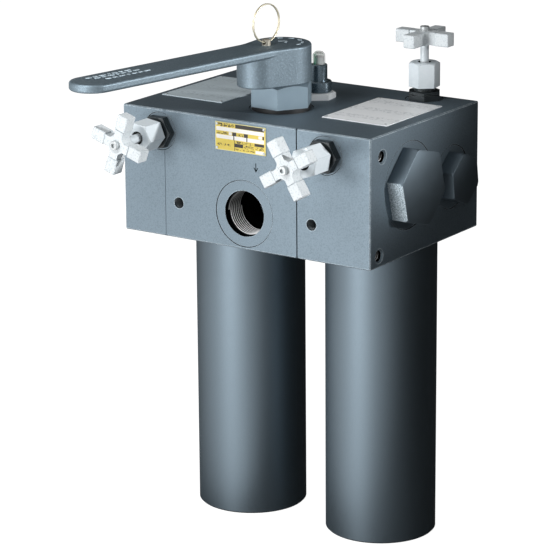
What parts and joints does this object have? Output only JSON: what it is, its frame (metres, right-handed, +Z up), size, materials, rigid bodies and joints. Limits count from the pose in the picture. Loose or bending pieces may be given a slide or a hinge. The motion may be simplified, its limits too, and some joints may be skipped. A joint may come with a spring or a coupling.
{
  "type": "duplex high-pressure filter",
  "caption": "Duplex high-pressure oil filter with a machined head block, hanging screwed bowls, a lever-turned transfer valve, needle valves and a clogging indicator.",
  "frame": {"origin": "centre of the inlet port's mouth, on the spotface of the front face", "axes": "+X to the right as seen from the front, +Y back into the head block, +Z up; the bowls hang along -Z"},
  "size_m": [0.3216, 0.399, 0.5408],
  "materials": {
    "blackened_steel": "satin black oxide",
    "bowl_finish": "matte dark grey",
    "bonnet_steel": "satin black oxide",
    "nameplate": "printed yellow and black",
    "bare_plate": "brushed",
    "rubber": "matte",
    "machined_steel": "turned",
    "cast_iron": "rough cast, blackened",
    "screw_steel": "satin",
    "brass": "satin",
    "spring_steel": "drawn wire",
    "ring_steel": "bright wire",
    "valve_body": "satin black oxide",
    "bright_steel": "bright plated",
    "handle_alloy": "fine cast",
    "packing": "matte",
    "indicator_black": "gloss",
    "clear_plastic": "clear",
    "signal_plastic": "green",
    "filter_media": "pleated mesh",
    "core_tin": "tinned",
    "cap_metal": "pressed"
  },
  "bodies": {
    "head": {"head_block": "blackened_steel", "bonnet_seal": "rubber", "bonnet_washer": "rubber", "indicator_base": "bright_steel", "indicator_body": "indicator_black", "indicator_lens": "clear_plastic", "indicator_spring": "spring_steel", "left_bleed_body": "valve_body", "left_bleed_bonnet": "bright_steel", "left_element_caps": "cap_metal", "left_element_core": "core_tin", "left_element_media": "filter_media", "left_element_nipple": "machined_steel", "left_front_plug": "blackened_steel", "left_rear_plug": "blackened_steel", "nameplate": "nameplate", "right_bleed_body": "valve_body", "right_bleed_bonnet": "bright_steel", "right_element_caps": "cap_metal", "right_element_core": "core_tin", "right_element_media": "filter_media", "right_element_nipple": "machined_steel", "right_front_plug": "blackened_steel", "right_rear_plug": "blackened_steel", "side_plug_seals": "rubber", "stem_seal": "rubber", "top_plates": "bare_plate", "top_vent_body": "valve_body", "top_vent_bonnet": "bright_steel", "transfer_bonnet": "bonnet_steel", "valve_packings": "packing"},
    "transfer": {"transfer_plug": "machined_steel", "transfer_lever": "cast_iron", "lever_set_screw": "screw_steel", "lock_pin_spring": "spring_steel"},
    "lock_pin_unit": {"lock_pin": "brass"},
    "pull_ring_unit": {"pull_ring": "ring_steel"},
    "indicator_signal": {"indicator_spool": "signal_plastic"},
    "left_bleed_tip": {"left_bleed_needle": "machined_steel"},
    "left_bleed_wheel": {"left_bleed_spindle": "bright_steel", "left_bleed_handle": "handle_alloy", "left_bleed_handle_screw": "screw_steel"},
    "right_bleed_tip": {"right_bleed_needle": "machined_steel"},
    "right_bleed_wheel": {"right_bleed_spindle": "bright_steel", "right_bleed_handle": "handle_alloy", "right_bleed_handle_screw": "screw_steel"},
    "top_vent_tip": {"top_vent_needle": "machined_steel"},
    "top_vent_wheel": {"top_vent_spindle": "bright_steel", "top_vent_handle": "handle_alloy", "top_vent_handle_screw": "screw_steel"},
    "left_bowl_thread": {"left_bowl_seal": "rubber", "left_backup_ring": "packing"},
    "left_bowl_unit": {"left_bowl": "bowl_finish", "left_drain_plug": "bonnet_steel"},
    "right_bowl_thread": {"right_bowl_seal": "rubber", "right_backup_ring": "packing"},
    "right_bowl_unit": {"right_bowl": "bowl_finish", "right_drain_plug": "bonnet_steel"}
  },
  "joints": [
    {"name": "lever_turn", "type": "hinge", "parent": "head", "child": "transfer", "pos_m": [-0.0023, 0.068, 0.1185], "axis": [0, 0, 1], "range_deg": [-79, 101]},
    {"name": "lock_pin_lift", "type": "slide", "parent": "transfer", "child": "lock_pin_unit", "axis": [0, 0, 1], "range_m": [0, 0.005], "stiffness_N_per_m": 3000, "deforming": ["lock_pin_spring"]},
    {"name": "ring_swing", "type": "hinge", "parent": "lock_pin_unit", "child": "pull_ring_unit", "pos_m": [-0.00612, 0.04837, 0.1591], "axis": [0, 1, 0], "range_deg": [-85, 85]},
    {"name": "indicator_rise", "type": "slide", "parent": "head", "child": "indicator_signal", "axis": [0, 0, 1], "range_m": [0, 0.003], "stiffness_N_per_m": 2000, "deforming": ["indicator_spring"]},
    {"name": "left_bleed_travel", "type": "slide", "parent": "head", "child": "left_bleed_tip", "axis": [0, -1, 0], "range_m": [-0.003, 0.0015]},
    {"name": "left_bleed_turn", "type": "hinge", "parent": "left_bleed_tip", "child": "left_bleed_wheel", "pos_m": [-0.0992, -0.06, 0.0695], "axis": [0, -1, 0], "range_deg": [-720, 360]},
    {"name": "right_bleed_travel", "type": "slide", "parent": "head", "child": "right_bleed_tip", "axis": [0, -1, 0], "range_m": [0, 0.0045]},
    {"name": "right_bleed_turn", "type": "hinge", "parent": "right_bleed_tip", "child": "right_bleed_wheel", "pos_m": [0.0934, -0.06, 0.0695], "axis": [0, -1, 0], "range_deg": [0, 1080]},
    {"name": "top_vent_travel", "type": "slide", "parent": "head", "child": "top_vent_tip", "axis": [0, 0, 1], "range_m": [0, 0.0045]},
    {"name": "top_vent_turn", "type": "hinge", "parent": "top_vent_tip", "child": "top_vent_wheel", "pos_m": [0.0933, 0.1775, 0.15], "axis": [0, 0, 1], "range_deg": [0, 1080]},
    {"name": "left_bowl_travel", "type": "slide", "parent": "head", "child": "left_bowl_thread", "axis": [0, 0, -1], "range_m": [0, 0.024]},
    {"name": "left_bowl_turn", "type": "hinge", "parent": "left_bowl_thread", "child": "left_bowl_unit", "pos_m": [-0.0784, 0.1225, -0.0355], "axis": [0, 0, -1], "range_deg": [0, 2880]},
    {"name": "right_bowl_travel", "type": "slide", "parent": "head", "child": "right_bowl_thread", "axis": [0, 0, -1], "range_m": [0, 0.024]},
    {"name": "right_bowl_turn", "type": "hinge", "parent": "right_bowl_thread", "child": "right_bowl_unit", "pos_m": [0.0784, 0.1225, -0.0355], "axis": [0, 0, -1], "range_deg": [0, 2880]}
  ],
  "couplings": [
    {"joint": "left_bleed_travel", "follows": "left_bleed_turn", "m_per_rad": 0.00023873},
    {"joint": "right_bleed_travel", "follows": "right_bleed_turn", "m_per_rad": 0.00023873},
    {"joint": "top_vent_travel", "follows": "top_vent_turn", "m_per_rad": 0.00023873},
    {"joint": "left_bowl_travel", "follows": "left_bowl_turn", "m_per_rad": 0.00047746},
    {"joint": "right_bowl_travel", "follows": "right_bowl_turn", "m_per_rad": 0.00047746}
  ]
}
